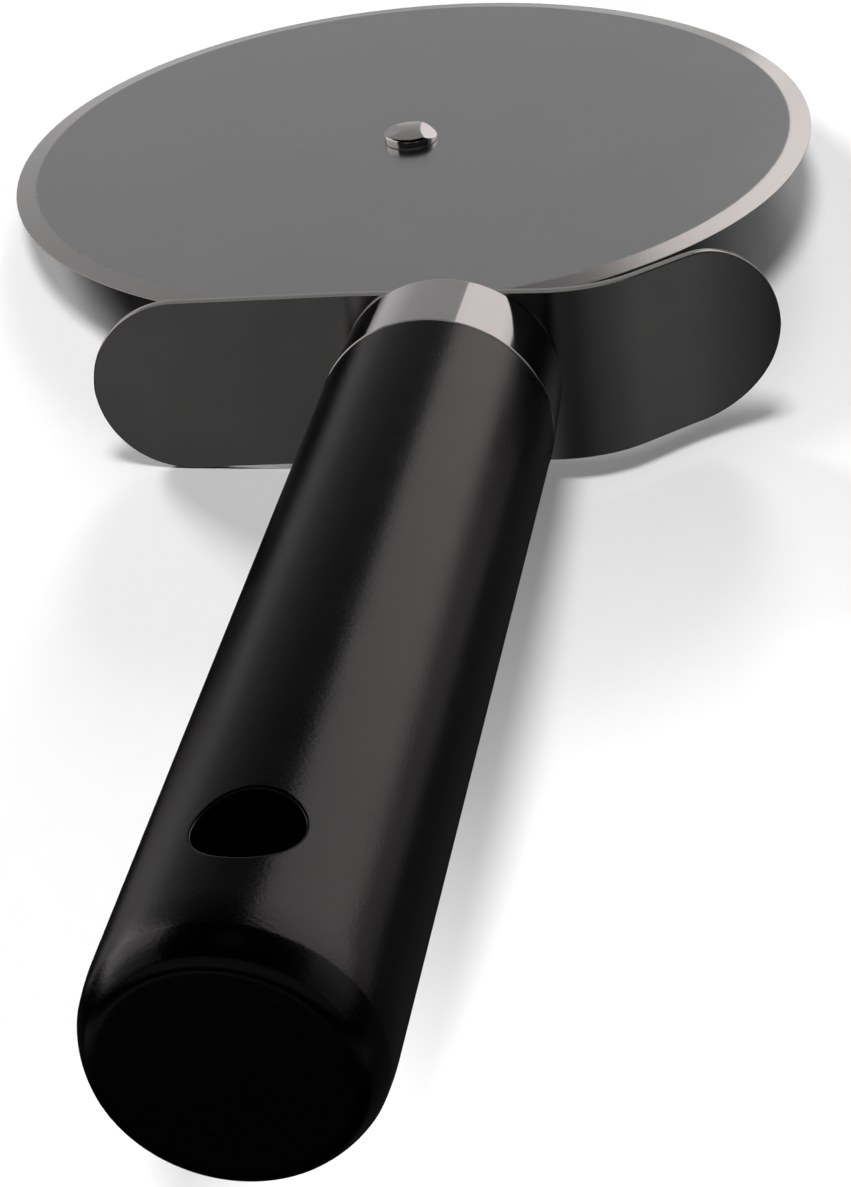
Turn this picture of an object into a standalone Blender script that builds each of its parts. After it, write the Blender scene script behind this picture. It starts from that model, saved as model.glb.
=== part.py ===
"""Rotary wheel cutter: a steel disc that spins on a rivet, ahead of a straight round handle.

All sizes are in metres. The disc lies level, its axle is along +Z, and the handle runs toward -Y,
to one side of the axle. The origin is on the surface that the handle lies on, midway along the
cutter and level with the axle across it.
"""

import math

import bmesh
import bpy
from mathutils import Vector

# Clearance between pieces that seat on each other or pass through each other
GAP = 0.0003

# Cutting wheel
WHEEL_DIAMETER = 0.1016
WHEEL_THICKNESS = 0.0010
EDGE_WIDTH = 0.0026
EDGE_THICKNESS = 0.00012

# Axle rivet
AXLE_DIAMETER = 0.0044
HEAD_DIAMETER = 0.00675
HEAD_HEIGHT = 0.0012
HEAD_CROWN = 0.0003
HEAD_ROUNDING = 0.0006
NECK_DIAMETER = 0.0032
TAIL_DIAMETER = 0.0058
TAIL_HEIGHT = 0.0008

# Spacer washer between the wheel and the arm
WASHER_DIAMETER = 0.0110
WASHER_THICKNESS = 0.0005

# Carrier arm, a flat stamping with a round eye at the axle and a tang in the handle
ARM_THICKNESS = 0.0020
ARM_WIDTH = 0.0170
ARM_STRAIGHT_LENGTH = 0.0140
TANG_WIDTH = 0.0100
TANG_LENGTH = 0.0600
TANG_NOTCH_DEPTH = 0.0014
TANG_NOTCH_COUNT = 4

# Finger guard, a strip with round ends. One wing is nearly straight. The other bends forward
# round the wheel, and its tip flares out again. Reaches and starts are along the strip.
RIM_TO_GUARD = 0.0091
GUARD_THICKNESS = 0.0010
GUARD_WIDTH = 0.0207
BEND_RADIUS = 0.0148
FINGER_WING_REACH = 0.0405
FINGER_BEND_START = 0.0098
FINGER_BEND_ANGLE = math.radians(-3.6)
THUMB_WING_REACH = 0.0391
THUMB_BEND_START = 0.0105
THUMB_BEND_ANGLE = math.radians(42.0)
FLARE_START = 0.0272
FLARE_RADIUS = 0.0221

# Small chamfer on the edges of the sheet and plate
EDGE_BREAK = 0.00015

# Ferrule, a drawn cup of even thickness that stands just proud of the handle
FERRULE_LENGTH = 0.0109
FERRULE_WALL = 0.0010
FERRULE_ROUNDING = 0.0028
FERRULE_LIP = 0.00006

# Handle
HANDLE_OFFSET = 0.0143
HANDLE_DIAMETER = 0.0254
HANDLE_LENGTH = 0.1048
HANDLE_FRONT_ROUNDING = 0.0002
HANDLE_END_ROUNDING = 0.0023
HANDLE_END_TAPER = 0.0068
HANG_HOLE_DIAMETER = 0.0092
HANG_HOLE_FROM_END = 0.0158

# Fineness of the round shapes
WHEEL_STEPS = 144
HANDLE_STEPS = 72
RIVET_STEPS = 48
ARC_STEPS = 6
BEND_STEP = math.radians(4.0)
MERGE_DISTANCE = 0.00001

# Angles between faces above which an edge is drawn sharp, and above which it is broken
SHARP_ANGLE = math.radians(35.0)
BROKEN_ANGLE = math.radians(50.0)

# Heights in the stack on the axle, from the middle of the wheel's thickness
WHEEL_RADIUS = WHEEL_DIAMETER / 2
WHEEL_TOP = WHEEL_THICKNESS / 2
WASHER_TOP = -WHEEL_TOP - GAP
ARM_TOP = WASHER_TOP - WASHER_THICKNESS - GAP
ARM_MIDDLE = ARM_TOP - ARM_THICKNESS / 2
TAIL_TOP = ARM_TOP - ARM_THICKNESS - GAP
BORE_RADIUS = AXLE_DIAMETER / 2 + GAP

# Places along the cutter, from the axle toward the handle's end
GUARD_MIDDLE_Y = -WHEEL_RADIUS - RIM_TO_GUARD - GUARD_THICKNESS / 2
SHOULDER_Y = GUARD_MIDDLE_Y + GUARD_THICKNESS / 2 + GAP
FERRULE_Y = GUARD_MIDDLE_Y - GUARD_THICKNESS / 2 - GAP
HANDLE_Y = FERRULE_Y - FERRULE_LENGTH - GAP
TANG_END_Y = HANDLE_Y - TANG_LENGTH
HANDLE_RADIUS = HANDLE_DIAMETER / 2
FERRULE_RADIUS = HANDLE_RADIUS + FERRULE_LIP
OVERALL_LENGTH = WHEEL_RADIUS - HANDLE_Y + HANDLE_LENGTH

# The wheel's centre above the origin, with the ferrule lying on the origin's level
WHEEL_CENTRE = Vector((0.0, OVERALL_LENGTH / 2 - WHEEL_RADIUS, FERRULE_RADIUS - ARM_MIDDLE))


def clear_scene():
    for obj in list(bpy.data.objects):
        bpy.data.objects.remove(obj, do_unlink=True)


def new_collection(name):
    collection = bpy.data.collections.new(name)
    bpy.context.scene.collection.children.link(collection)
    return collection


def new_material(name, colour, metallic, roughness):
    material = bpy.data.materials.new(name)
    material.use_nodes = True
    shader = material.node_tree.nodes["Principled BSDF"]
    shader.inputs["Base Color"].default_value = (*colour, 1.0)
    shader.inputs["Metallic"].default_value = metallic
    shader.inputs["Roughness"].default_value = roughness
    material.diffuse_color = (*colour, 1.0)
    return material


def new_empty(name, collection, parent, location, rotation=(0.0, 0.0, 0.0)):
    empty = bpy.data.objects.new(name, None)
    empty.empty_display_size = 0.01
    empty.parent = parent
    empty.location = location
    empty.rotation_euler = rotation
    collection.objects.link(empty)
    return empty


def new_object(name, data, collection, parent, location, material=None):
    obj = bpy.data.objects.new(name, data)
    obj.parent = parent
    obj.location = location
    collection.objects.link(obj)
    if material is not None:
        obj.data.materials.append(material)
    return obj


def apply_modifiers(obj):
    """Make the evaluated shape the object's own mesh, smooth but for its real edges."""
    bpy.context.view_layer.update()
    evaluated = obj.evaluated_get(bpy.context.evaluated_depsgraph_get())
    mesh = bpy.data.meshes.new_from_object(evaluated)
    mesh.name = obj.name
    obj.modifiers.clear()
    obj.data = mesh
    mesh.shade_smooth()
    mesh.set_sharp_from_angle(angle=SHARP_ANGLE)
    return obj


def break_edges(obj):
    bevel = obj.modifiers.new("Bevel", "BEVEL")
    bevel.width = EDGE_BREAK
    bevel.segments = 1
    bevel.limit_method = "ANGLE"
    bevel.angle_limit = BROKEN_ANGLE


def rounding(centre, radius, start, end, steps=ARC_STEPS, rise=None):
    """Points of an arc from one angle to another; a rise other than the radius stretches it."""
    if rise is None:
        rise = radius
    points = []
    for i in range(steps + 1):
        angle = math.radians(start + (end - start) * i / steps)
        points.append((centre[0] + radius * math.cos(angle), centre[1] + rise * math.sin(angle)))
    return points


def turned(name, profile, closed, steps, collection, parent, location, material):
    """A shape turned about its own Z from (radius, height) points that run down its outer side."""
    count = len(profile)
    edges = [(i, (i + 1) % count) for i in range(count if closed else count - 1)]
    mesh = bpy.data.meshes.new(name)
    mesh.from_pydata([(radius, 0.0, height) for radius, height in profile], edges, [])
    obj = new_object(name, mesh, collection, parent, location, material)
    screw = obj.modifiers.new("Screw", "SCREW")
    screw.axis = "Z"
    screw.angle = math.tau
    screw.steps = steps
    screw.render_steps = steps
    screw.use_merge_vertices = True
    screw.merge_threshold = MERGE_DISTANCE
    return apply_modifiers(obj)


def box_cutter(name, size, collection, parent, location):
    bm = bmesh.new()
    bmesh.ops.create_cube(bm, size=1.0)
    bmesh.ops.scale(bm, vec=size, verts=bm.verts)
    return finish_cutter(name, bm, collection, parent, location)


def round_cutter(name, radius, length, steps, collection, parent, location):
    bm = bmesh.new()
    bmesh.ops.create_cone(
        bm, cap_ends=True, segments=steps, radius1=radius, radius2=radius, depth=length
    )
    return finish_cutter(name, bm, collection, parent, location)


def finish_cutter(name, bm, collection, parent, location):
    mesh = bpy.data.meshes.new(name)
    bm.to_mesh(mesh)
    bm.free()
    cutter = new_object(name, mesh, collection, parent, location)
    cutter.hide_render = True
    cutter.display_type = "WIRE"
    return cutter


def cut(obj, cutter):
    boolean = obj.modifiers.new(cutter.name, "BOOLEAN")
    boolean.operation = "DIFFERENCE"
    boolean.solver = "EXACT"
    boolean.object = cutter


def make_wheel(collection, frame, steel):
    """The disc, ground to an edge from both faces, with its origin on the axle."""
    flat_radius = WHEEL_RADIUS - EDGE_WIDTH
    profile = [
        (BORE_RADIUS, WHEEL_TOP),
        (flat_radius, WHEEL_TOP),
        (WHEEL_RADIUS, EDGE_THICKNESS / 2),
        (WHEEL_RADIUS, -EDGE_THICKNESS / 2),
        (flat_radius, -WHEEL_TOP),
        (BORE_RADIUS, -WHEEL_TOP),
    ]
    return turned("cutting_wheel", profile, True, WHEEL_STEPS, collection, frame, (0, 0, 0), steel)


def make_rivet(collection, frame, steel):
    """Head, axle, a neck that steps down through the arm, and the upset tail."""
    head_radius = HEAD_DIAMETER / 2
    axle_radius = AXLE_DIAMETER / 2
    neck_radius = NECK_DIAMETER / 2
    tail_radius = TAIL_DIAMETER / 2
    head_bottom = WHEEL_TOP + GAP
    head_shoulder = head_bottom + HEAD_HEIGHT - HEAD_CROWN
    crown_radius = head_radius - HEAD_ROUNDING
    profile = []
    for i in range(ARC_STEPS):
        share = i / ARC_STEPS
        profile.append((crown_radius * share, head_shoulder + HEAD_CROWN * (1 - share**2)))
    profile += rounding((crown_radius, head_shoulder - HEAD_ROUNDING), HEAD_ROUNDING, 90, 0)
    profile += [
        (head_radius, head_bottom),
        (axle_radius, head_bottom),
        (axle_radius, ARM_TOP + GAP),
        (neck_radius, ARM_TOP + GAP),
        (neck_radius, TAIL_TOP),
        (tail_radius, TAIL_TOP),
    ]
    for i in range(1, ARC_STEPS + 1):
        angle = math.radians(90.0 * i / ARC_STEPS)
        profile.append((tail_radius * math.cos(angle), TAIL_TOP - TAIL_HEIGHT * math.sin(angle)))
    return turned("axle_rivet", profile, False, RIVET_STEPS, collection, frame, (0, 0, 0), steel)


def make_washer(collection, frame, steel):
    outer = WASHER_DIAMETER / 2
    profile = [
        (BORE_RADIUS, 0.0),
        (outer, 0.0),
        (outer, -WASHER_THICKNESS),
        (BORE_RADIUS, -WASHER_THICKNESS),
    ]
    place = (0, 0, WASHER_TOP)
    return turned("spacer_washer", profile, True, RIVET_STEPS, collection, frame, place, steel)


def tang_side():
    """One long side of the tang, from its end to the shoulder, with V notches that hold it."""
    half = TANG_WIDTH / 2
    pitch = TANG_LENGTH / (TANG_NOTCH_COUNT + 1)
    points = [(half, TANG_END_Y)]
    for i in range(1, TANG_NOTCH_COUNT + 1):
        middle = TANG_END_Y + pitch * i
        points.append((half, middle - TANG_NOTCH_DEPTH))
        points.append((half - TANG_NOTCH_DEPTH, middle))
        points.append((half, middle + TANG_NOTCH_DEPTH))
    points.append((half, SHOULDER_Y))
    return points


def arm_outline():
    """The stamping seen from above: tang, shoulders, bend and a round eye about the axle."""
    half = ARM_WIDTH / 2
    bend_y = SHOULDER_Y + ARM_STRAIGHT_LENGTH
    slant = math.atan2(HANDLE_OFFSET, -bend_y)
    mitre = half * math.tan(slant / 2)
    right = [(HANDLE_OFFSET + x, y) for x, y in tang_side()]
    left = [(HANDLE_OFFSET - x, y) for x, y in reversed(tang_side())]
    right += [(HANDLE_OFFSET + half, SHOULDER_Y), (HANDLE_OFFSET + half, bend_y + mitre)]
    start = math.degrees(slant)
    eye = rounding((0.0, 0.0), half, start, start + 180.0, 4 * ARC_STEPS)
    left = [(HANDLE_OFFSET - half, bend_y - mitre), (HANDLE_OFFSET - half, SHOULDER_Y)] + left
    return right + eye + left


def add_outline(curve, points):
    spline = curve.splines.new("POLY")
    spline.points.add(len(points) - 1)
    for point, (x, y) in zip(spline.points, points):
        point.co = (x, y, 0.0, 1.0)
    spline.use_cyclic_u = True


def make_arm(collection, frame, steel):
    curve = bpy.data.curves.new("carrier_arm", "CURVE")
    curve.dimensions = "2D"
    curve.fill_mode = "BOTH"
    curve.extrude = ARM_THICKNESS / 2
    add_outline(curve, arm_outline())
    hole_radius = NECK_DIAMETER / 2 + GAP
    add_outline(curve, rounding((0.0, 0.0), hole_radius, 0.0, 360.0, 4 * ARC_STEPS)[:-1])
    blank = new_object("carrier_arm_outline", curve, collection, frame, (0, 0, ARM_MIDDLE))
    bpy.context.view_layer.update()
    evaluated = blank.evaluated_get(bpy.context.evaluated_depsgraph_get())
    mesh = bpy.data.meshes.new_from_object(evaluated)
    bpy.data.objects.remove(blank, do_unlink=True)
    bm = bmesh.new()
    bm.from_mesh(mesh)
    bmesh.ops.remove_doubles(bm, verts=bm.verts, dist=MERGE_DISTANCE)
    bm.to_mesh(mesh)
    bm.free()
    arm = new_object("carrier_arm", mesh, collection, frame, (0, 0, ARM_MIDDLE), steel)
    break_edges(arm)
    return apply_modifiers(arm)


def wing_pieces(side):
    """The strip from the handle's middle to one tip, as (length, curvature toward the front)."""
    if side < 0:
        bend = BEND_RADIUS * abs(FINGER_BEND_ANGLE)
        return [
            (FINGER_BEND_START, 0.0),
            (bend, math.copysign(1.0 / BEND_RADIUS, FINGER_BEND_ANGLE)),
            (FINGER_WING_REACH - FINGER_BEND_START - bend, 0.0),
        ]
    bend = BEND_RADIUS * THUMB_BEND_ANGLE
    return [
        (THUMB_BEND_START, 0.0),
        (bend, 1.0 / BEND_RADIUS),
        (FLARE_START - THUMB_BEND_START - bend, 0.0),
        (THUMB_WING_REACH - FLARE_START, -1.0 / FLARE_RADIUS),
    ]


def wing_place(side, distance):
    """Place in plan of the guard's middle surface, a distance along one wing."""
    out = 0.0
    forward = 0.0
    heading = 0.0
    left = distance
    for length, curvature in wing_pieces(side):
        step = min(left, length)
        turn = step * curvature
        chord = step if turn == 0.0 else 2.0 * math.sin(turn / 2) / curvature
        out += chord * math.cos(heading + turn / 2)
        forward += chord * math.sin(heading + turn / 2)
        heading += turn
        left -= step
    return HANDLE_OFFSET + side * out, GUARD_MIDDLE_Y + forward


def wing_stations(side):
    """Distances along one wing, past the tang's slot, with half the strip's width at each."""
    full = GUARD_WIDTH / 2
    reach = sum(length for length, curvature in wing_pieces(side))
    stations = [(TANG_WIDTH / 2 + GAP, full)]
    done = 0.0
    for length, curvature in wing_pieces(side):
        steps = max(1, math.ceil(length * abs(curvature) / BEND_STEP))
        for i in range(1, steps + 1):
            along = done + length * i / steps
            if along < reach - full:
                stations.append((along, full))
        done += length
    for half_width, along in rounding((0.0, reach - full), full, 0.0, 90.0, 2 * ARC_STEPS):
        stations.append((along, half_width))
    return stations


def make_guard(collection, frame, steel):
    """The strip: a plain grid laid along it, trimmed at the slot, then given its thickness."""
    slot_share = (ARM_THICKNESS / 2 + GAP) / (GUARD_WIDTH / 2)
    rows = [-1.0, -slot_share, slot_share, 1.0]
    columns = []
    for side in (-1, 1):
        wing = [(*wing_place(side, along), half) for along, half in wing_stations(side)]
        columns += wing[::side]
    bm = bmesh.new()
    bmesh.ops.create_grid(bm, x_segments=len(columns) - 1, y_segments=len(rows) - 1, size=1.0)
    bm.verts.ensure_lookup_table()
    for i, vertex in enumerate(bm.verts):
        x, y, half_width = columns[i % len(columns)]
        vertex.co = (x, y, half_width * rows[i // len(columns)])
    slot_half = TANG_WIDTH / 2 + GAP
    slot_faces = []
    for face in bm.faces:
        middle = face.calc_center_median()
        if abs(middle.x - HANDLE_OFFSET) < slot_half and abs(middle.z) < ARM_THICKNESS / 2:
            slot_faces.append(face)
    bmesh.ops.delete(bm, geom=slot_faces, context="FACES")
    bmesh.ops.remove_doubles(bm, verts=bm.verts, dist=MERGE_DISTANCE)
    mesh = bpy.data.meshes.new("finger_guard")
    bm.to_mesh(mesh)
    bm.free()
    guard = new_object("finger_guard", mesh, collection, frame, (0, 0, ARM_MIDDLE), steel)
    solidify = guard.modifiers.new("Solidify", "SOLIDIFY")
    solidify.thickness = GUARD_THICKNESS
    solidify.offset = 0.0
    solidify.use_even_offset = True
    break_edges(guard)
    return apply_modifiers(guard)


def make_ferrule(collection, axis, steel):
    """A drawn cup whose web bears on the guard; the tang passes through it."""
    centre = (FERRULE_RADIUS - FERRULE_ROUNDING, -FERRULE_ROUNDING)
    tang_hole = math.hypot(TANG_WIDTH / 2, ARM_THICKNESS / 2) + GAP
    profile = [(tang_hole, 0.0)]
    profile += rounding(centre, FERRULE_ROUNDING, 90, 0)
    profile += [
        (FERRULE_RADIUS, -FERRULE_LENGTH),
        (FERRULE_RADIUS - FERRULE_WALL, -FERRULE_LENGTH),
    ]
    profile += rounding(centre, FERRULE_ROUNDING - FERRULE_WALL, 0, 90)
    profile.append((tang_hole, -FERRULE_WALL))
    place = (0, 0, FERRULE_Y)
    return turned("ferrule", profile, True, HANDLE_STEPS, collection, axis, place, steel)


def make_handle(collection, cutters, frame, axis, plastic):
    """The moulding: a spigot that fills the ferrule, a plain grip, the tang's socket, a hole."""
    spigot_length = FERRULE_LENGTH - FERRULE_WALL
    spigot_radius = FERRULE_RADIUS - FERRULE_WALL - GAP
    spigot_rounding = FERRULE_ROUNDING - FERRULE_WALL - GAP
    spigot_centre = (spigot_radius - spigot_rounding, spigot_length - spigot_rounding)
    front_centre = (HANDLE_RADIUS - HANDLE_FRONT_ROUNDING, -HANDLE_FRONT_ROUNDING)
    end_centre = (HANDLE_RADIUS - HANDLE_END_ROUNDING, HANDLE_END_TAPER - HANDLE_LENGTH)
    profile = [(0.0, spigot_length)]
    profile += rounding(spigot_centre, spigot_rounding, 90, 0, ARC_STEPS // 2)
    profile.append((spigot_radius, 0.0))
    profile += rounding(front_centre, HANDLE_FRONT_ROUNDING, 90, 0, ARC_STEPS // 2)
    profile += rounding(
        end_centre, HANDLE_END_ROUNDING, 0, -90, 2 * ARC_STEPS, rise=HANDLE_END_TAPER
    )
    profile.append((0.0, -HANDLE_LENGTH))
    place = (0, 0, HANDLE_Y)
    handle = turned("handle", profile, False, HANDLE_STEPS, collection, axis, place, plastic)

    socket_front = HANDLE_Y + spigot_length + GAP
    socket_end = TANG_END_Y - GAP
    socket_size = (
        TANG_WIDTH + 2 * GAP,
        socket_front - socket_end,
        ARM_THICKNESS + 2 * GAP,
    )
    socket_place = (HANDLE_OFFSET, (socket_front + socket_end) / 2, ARM_MIDDLE)
    cut(handle, box_cutter("tang_socket_cutter", socket_size, cutters, frame, socket_place))

    hole_y = HANDLE_Y - HANDLE_LENGTH + HANG_HOLE_FROM_END
    hole_place = (HANDLE_OFFSET, hole_y, ARM_MIDDLE)
    hole_radius = HANG_HOLE_DIAMETER / 2
    hole_length = 2 * HANDLE_DIAMETER
    cut(
        handle,
        round_cutter(
            "hang_hole_cutter", hole_radius, hole_length, RIVET_STEPS, cutters, frame, hole_place
        ),
    )
    return apply_modifiers(handle)


def main():
    clear_scene()
    parts = new_collection("wheel_cutter")
    cutters = new_collection("wheel_cutter_cutters")

    wheel_steel = new_material("wheel_steel", (0.42, 0.42, 0.42), 1.0, 0.38)
    rivet_steel = new_material("rivet_steel", (0.62, 0.61, 0.60), 1.0, 0.15)
    washer_steel = new_material("washer_steel", (0.40, 0.40, 0.40), 1.0, 0.35)
    arm_steel = new_material("arm_steel", (0.40, 0.40, 0.40), 1.0, 0.35)
    guard_steel = new_material("guard_steel", (0.45, 0.44, 0.43), 1.0, 0.22)
    ferrule_steel = new_material("ferrule_steel", (0.60, 0.59, 0.59), 1.0, 0.12)
    black_plastic = new_material("black_plastic", (0.012, 0.011, 0.011), 0.0, 0.42)

    frame = new_empty("wheel_centre", parts, None, WHEEL_CENTRE)
    axis_turn = (-math.pi / 2, 0.0, 0.0)
    axis_place = (HANDLE_OFFSET, 0.0, ARM_MIDDLE)
    axis = new_empty("handle_axis", parts, frame, axis_place, axis_turn)

    make_wheel(parts, frame, wheel_steel)
    make_rivet(parts, frame, rivet_steel)
    make_washer(parts, frame, washer_steel)
    make_arm(parts, frame, arm_steel)
    make_guard(parts, frame, guard_steel)
    make_ferrule(parts, axis, ferrule_steel)
    make_handle(parts, cutters, frame, axis, black_plastic)


main()
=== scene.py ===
"""Finished look of a rotary wheel cutter with a bent finger guard and a black handle."""

import math

import bmesh
import bpy
from bpy.props import FloatProperty, FloatVectorProperty, IntProperty, PointerProperty
from mathutils import Matrix, Vector
from mathutils.kdtree import KDTree


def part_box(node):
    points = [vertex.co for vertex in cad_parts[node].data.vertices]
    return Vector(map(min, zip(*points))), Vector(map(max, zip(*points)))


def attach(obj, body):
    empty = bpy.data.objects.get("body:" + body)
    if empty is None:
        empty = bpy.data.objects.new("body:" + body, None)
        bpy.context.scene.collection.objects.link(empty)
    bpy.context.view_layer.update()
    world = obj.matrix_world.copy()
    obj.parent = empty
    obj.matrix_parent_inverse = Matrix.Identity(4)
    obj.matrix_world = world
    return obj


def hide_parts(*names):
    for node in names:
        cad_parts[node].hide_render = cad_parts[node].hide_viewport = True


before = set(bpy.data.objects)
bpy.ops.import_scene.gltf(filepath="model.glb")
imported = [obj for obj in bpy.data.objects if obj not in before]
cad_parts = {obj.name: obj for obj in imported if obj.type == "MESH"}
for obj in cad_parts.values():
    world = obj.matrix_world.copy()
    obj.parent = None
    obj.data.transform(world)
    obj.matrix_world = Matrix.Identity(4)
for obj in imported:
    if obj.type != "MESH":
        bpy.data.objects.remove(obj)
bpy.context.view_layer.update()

bl_info = {
    "name": "Wheel Cutter Maker",
    "version": (1, 0, 0),
    "blender": (4, 5, 0),
    "location": "View3D > Sidebar > Wheel Cutter",
    "description": "Builds the finished pieces of a rotary wheel cutter round its CAD frame",
    "category": "Object",
}

# Places that come from the frame
DISC_LOW, DISC_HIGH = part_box("cutting_wheel")
RIVET_LOW, RIVET_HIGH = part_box("axle_rivet")
WASHER_LOW, WASHER_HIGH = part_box("spacer_washer")
ARM_LOW, ARM_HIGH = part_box("carrier_arm")
GUARD_LOW, GUARD_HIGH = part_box("finger_guard")
FERRULE_LOW, FERRULE_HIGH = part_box("ferrule")
HANDLE_LOW, HANDLE_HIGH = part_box("handle")
AXLE = (DISC_LOW + DISC_HIGH) / 2
STRIP_HEIGHT = (ARM_LOW.z + ARM_HIGH.z) / 2
GRIP_X = (HANDLE_LOW.x + HANDLE_HIGH.x) / 2
GRIP_Z = (HANDLE_LOW.z + HANDLE_HIGH.z) / 2

# The CAD model's clearance at a seat, and the hair's breadth that stands for it here
SEAT_GAP = 0.0003
CONTACT = 0.00001

# How finely round shapes are divided
DISC_STEPS = 512
GRIP_STEPS = 256
RIVET_STEPS = 192
ARC_STEPS = 12
BEND_STEP = math.radians(0.75)
EDGE_SEGMENTS = 4
GUARD_HALF_ROWS = 4
GUARD_SAMPLES = 1200
BARREL_STEPS = 14
WINDOW_STEPS = 24
RING_STEPS = 8
LIP_STEPS = 6

# What is joined, what counts as a face and what counts as an edge
MERGE_DISTANCE = 0.000002
FACE_TOLERANCE = 0.000005
SHARP_ANGLE = math.radians(40.0)
EDGE_ANGLE = math.radians(60.0)

# How far from a corner the points lie that keep the flats beside it flat in the light
EDGE_SUPPORT = 0.0001
DISC_SUPPORT = 0.0002
END_SUPPORT = 0.0003
FRONT_SUPPORTS = (0.0004, 0.004)

# How full the rivet's crown is
CROWN_POWER = 1.8

# The patch of the grip round the hanging hole, and how its rings close up on the hole
HOLE_MARGIN = 0.0014
RING_POWER = 1.6

# The photograph's height in pixels, and the camera that was fitted to it: its focal length in
# pixels, sensor in millimetres, place in metres, and yaw, pitch and roll in degrees
IMAGE_HEIGHT = 1187
FOCAL_PIXELS = 2907.1
SENSOR = 36.0
CAMERA_PLACE = (0.07018, -0.27900, 0.15726)
CAMERA_TURNS = (-12.328, 30.892, -6.274)

# Densities in kg per cubic metre, and how far down the face that the tool rests on must look
STEEL_DENSITY = 7900.0
PLASTIC_DENSITY = 1200.0
LEAST_DOWNWARD = 0.5


def size(name, description, default, high=0.5):
    """A length in metres that a user may change."""
    return FloatProperty(
        name=name,
        description=description,
        default=default,
        min=0.00001,
        max=high,
        precision=5,
        subtype="DISTANCE",
        unit="LENGTH",
    )


def angle(name, description, degrees):
    """An angle that a user may change."""
    return FloatProperty(
        name=name,
        description=description,
        default=math.radians(degrees),
        subtype="ANGLE",
        unit="ROTATION",
    )


def colour(name, description, default):
    """A colour that a user may change."""
    return FloatVectorProperty(
        name=name,
        description=description,
        default=default,
        size=3,
        min=0.0,
        max=1.0,
        subtype="COLOR",
    )


def share(name, description, default):
    """A number from 0 to 1 that a user may change."""
    return FloatProperty(
        name=name, description=description, default=default, min=0.0, max=1.0, subtype="FACTOR"
    )


def brightness(name, description):
    """A factor on the strength of some lights."""
    return FloatProperty(name=name, description=description, default=1.0, min=0.0)


class DiscSettings(bpy.types.PropertyGroup):
    diameter: size("Diameter", "Width of the disc", DISC_HIGH.x - DISC_LOW.x)
    thickness: size("Thickness", "Thickness of the disc's plate", DISC_HIGH.z - DISC_LOW.z)
    bore: size("Bore", "Diameter of the hole that the rivet passes through", 0.0050)
    edge_width: size("Ground width", "Width of the ground slope round the edge", 0.0026)
    edge_thickness: size("Edge thickness", "Thickness left at the very edge", 0.00012)
    edge_blend: size("Ground blend", "Width over which the flat turns into the slope", 0.0004)
    flat_colour: colour("Flat colour", "Colour of the satin flat", (0.55, 0.55, 0.555))
    edge_colour: colour("Edge colour", "Colour of the ground slope", (0.74, 0.725, 0.715))
    flat_roughness: share("Flat roughness", "Roughness of the satin flat", 0.21)
    edge_roughness: share("Edge roughness", "Roughness of the ground slope", 0.17)


class RivetSettings(bpy.types.PropertyGroup):
    head_crown: size("Crown", "Rise of the head's crown above its rounded rim", 0.00025)
    head_rounding: size("Rounding", "Radius between the head's crown and its side", 0.0004)
    facet_slope: angle("Facet", "Slope of the peened facet on the head's right", 26.0)
    facet_turn: angle("Facet turn", "How far the facet turns toward the front", 12.0)
    facet_start: size("Facet place", "Distance of the facet from the head's middle", 0.0011)
    lean_slope: angle("Lean", "Slope of the head's left part", 10.0)
    lean_start: size("Lean place", "Distance of the sloping part from the head's middle", 0.0009)
    foot_rounding: size("Foot", "Radius between the head's side and its seat", 0.00014)
    axle_diameter: size("Axle", "Diameter of the axle inside the disc", 0.0044)
    neck_diameter: size("Neck", "Diameter of the neck through the arm", 0.0032)
    head_diameter: size("Head", "Diameter of the head", RIVET_HIGH.x - RIVET_LOW.x)
    tail_diameter: size("Tail", "Diameter of the upset tail", 0.0058)
    tail_height: size("Tail height", "How far the upset tail stands out", 0.0008)
    metal_colour: colour("Colour", "Colour of the polished rivet", (0.66, 0.64, 0.63))
    roughness: share("Roughness", "Roughness of the polished rivet", 0.10)


class ArmSettings(bpy.types.PropertyGroup):
    width: size("Width", "Width of the arm", 0.0170)
    straight_length: size("Straight length", "Length of the arm before its bend", 0.0140)
    tang_width: size("Tang width", "Width of the tang in the handle", 0.0100)
    notch_depth: size("Notch depth", "Depth of the tang's notches", 0.0014)
    notch_count: IntProperty(
        name="Notches", description="Number of notches along each side", default=4, min=0, max=12
    )
    edge_rounding: size("Edge rounding", "Radius of the arm's tumbled edges", 0.00025)
    metal_colour: colour("Arm colour", "Colour of the arm's plain steel", (0.52, 0.52, 0.525))
    washer_bore: size("Washer bore", "Diameter of the washer's hole", 0.0050)
    washer_rounding: size("Washer rounding", "Radius of the washer's outer edges", 0.00015)
    washer_colour: colour("Washer colour", "Colour of the plain washer", (0.50, 0.50, 0.505))
    roughness: share("Roughness", "Roughness of the arm and the washer", 0.30)


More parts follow.
